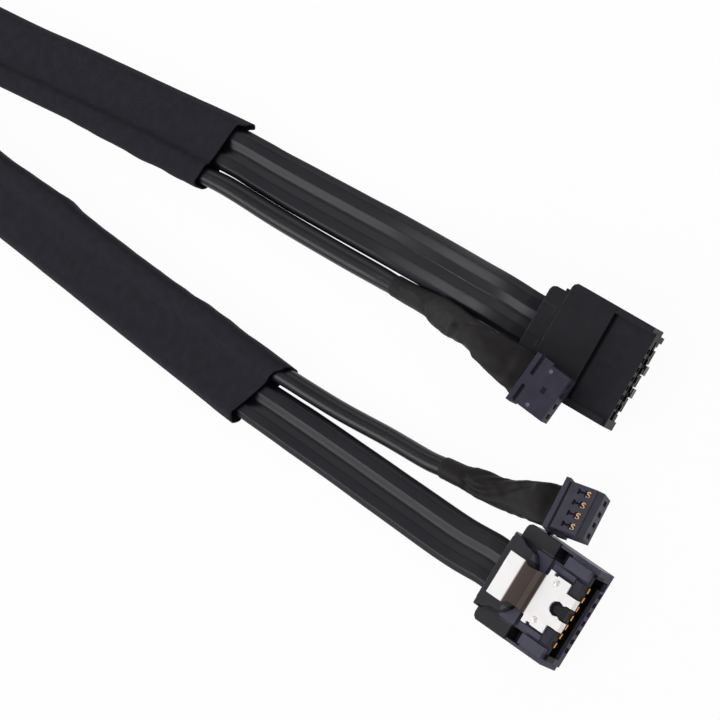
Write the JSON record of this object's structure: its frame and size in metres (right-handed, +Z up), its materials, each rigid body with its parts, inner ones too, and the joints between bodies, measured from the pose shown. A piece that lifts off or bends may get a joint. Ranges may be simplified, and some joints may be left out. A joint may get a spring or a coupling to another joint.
{
  "type": "sleeved data and power flex cable",
  "caption": "Flat sleeved cable joining a twin-lobe data cable and a round power cable, with a latching data plug and a small power connector at each end.",
  "frame": {"origin": "middle of the bounding box at table level", "axes": "+X from the loop towards the four connectors, +Y from end B towards end A, +Z up from the table"},
  "size_m": [0.1996, 0.0418, 0.0105],
  "materials": {
    "sleeve": "matte charcoal flat sleeve",
    "data_cable": "satin dark grey jacket",
    "round_cable": "satin black jacket",
    "housing": "satin blue-grey moulding",
    "overmold": "fine matte texture",
    "latch": "bright spring steel",
    "contact": "gold plated",
    "boot": "wrinkled shrink tube",
    "wire": "thin black insulation"
  },
  "bodies": {
    "cable": {"plug_housing_a": "housing", "plug_overmold_a": "overmold", "plug_contact_a_1": "contact", "plug_contact_a_2": "contact", "plug_contact_a_3": "contact", "plug_contact_a_4": "contact", "plug_contact_a_5": "contact", "plug_contact_a_6": "contact", "plug_contact_a_7": "contact", "power_housing_a": "housing", "power_terminal_a_1": "contact", "power_terminal_a_2": "contact", "power_terminal_a_3": "contact", "power_terminal_a_4": "contact", "plug_housing_b": "housing", "plug_overmold_b": "overmold", "plug_contact_b_1": "contact", "plug_contact_b_2": "contact", "plug_contact_b_3": "contact", "plug_contact_b_4": "contact", "plug_contact_b_5": "contact", "plug_contact_b_6": "contact", "plug_contact_b_7": "contact", "power_housing_b": "housing", "power_terminal_b_1": "contact", "power_terminal_b_2": "contact", "power_terminal_b_3": "contact", "power_terminal_b_4": "contact", "sleeve": "sleeve", "data_cable": "data_cable", "power_boot_a": "boot", "power_boot_b": "boot", "round_cable": "round_cable", "power_wire_a_4": "wire", "power_wire_a_3": "wire", "power_wire_a_2": "wire", "power_wire_a_1": "wire", "power_wire_b_1": "wire", "power_wire_b_2": "wire", "power_wire_b_3": "wire", "power_wire_b_4": "wire"},
    "latch_a": {"plug_latch_a": "latch"},
    "latch_b": {"plug_latch_b": "latch"}
  },
  "joints": [
    {"name": "latch_a_press", "type": "hinge", "parent": "cable", "child": "latch_a", "pos_m": [0.08879, 0.01419, 0.00048], "axis": [0, 1, 0], "range_deg": [0, 3.5], "stiffness_Nm_per_rad": 0.2},
    {"name": "latch_b_press", "type": "hinge", "parent": "cable", "child": "latch_b", "pos_m": [0.09914, -0.0142, 0.00425], "axis": [-0.0349, -0.9994, 0], "range_deg": [0, 3.5], "stiffness_Nm_per_rad": 0.2}
  ]
}
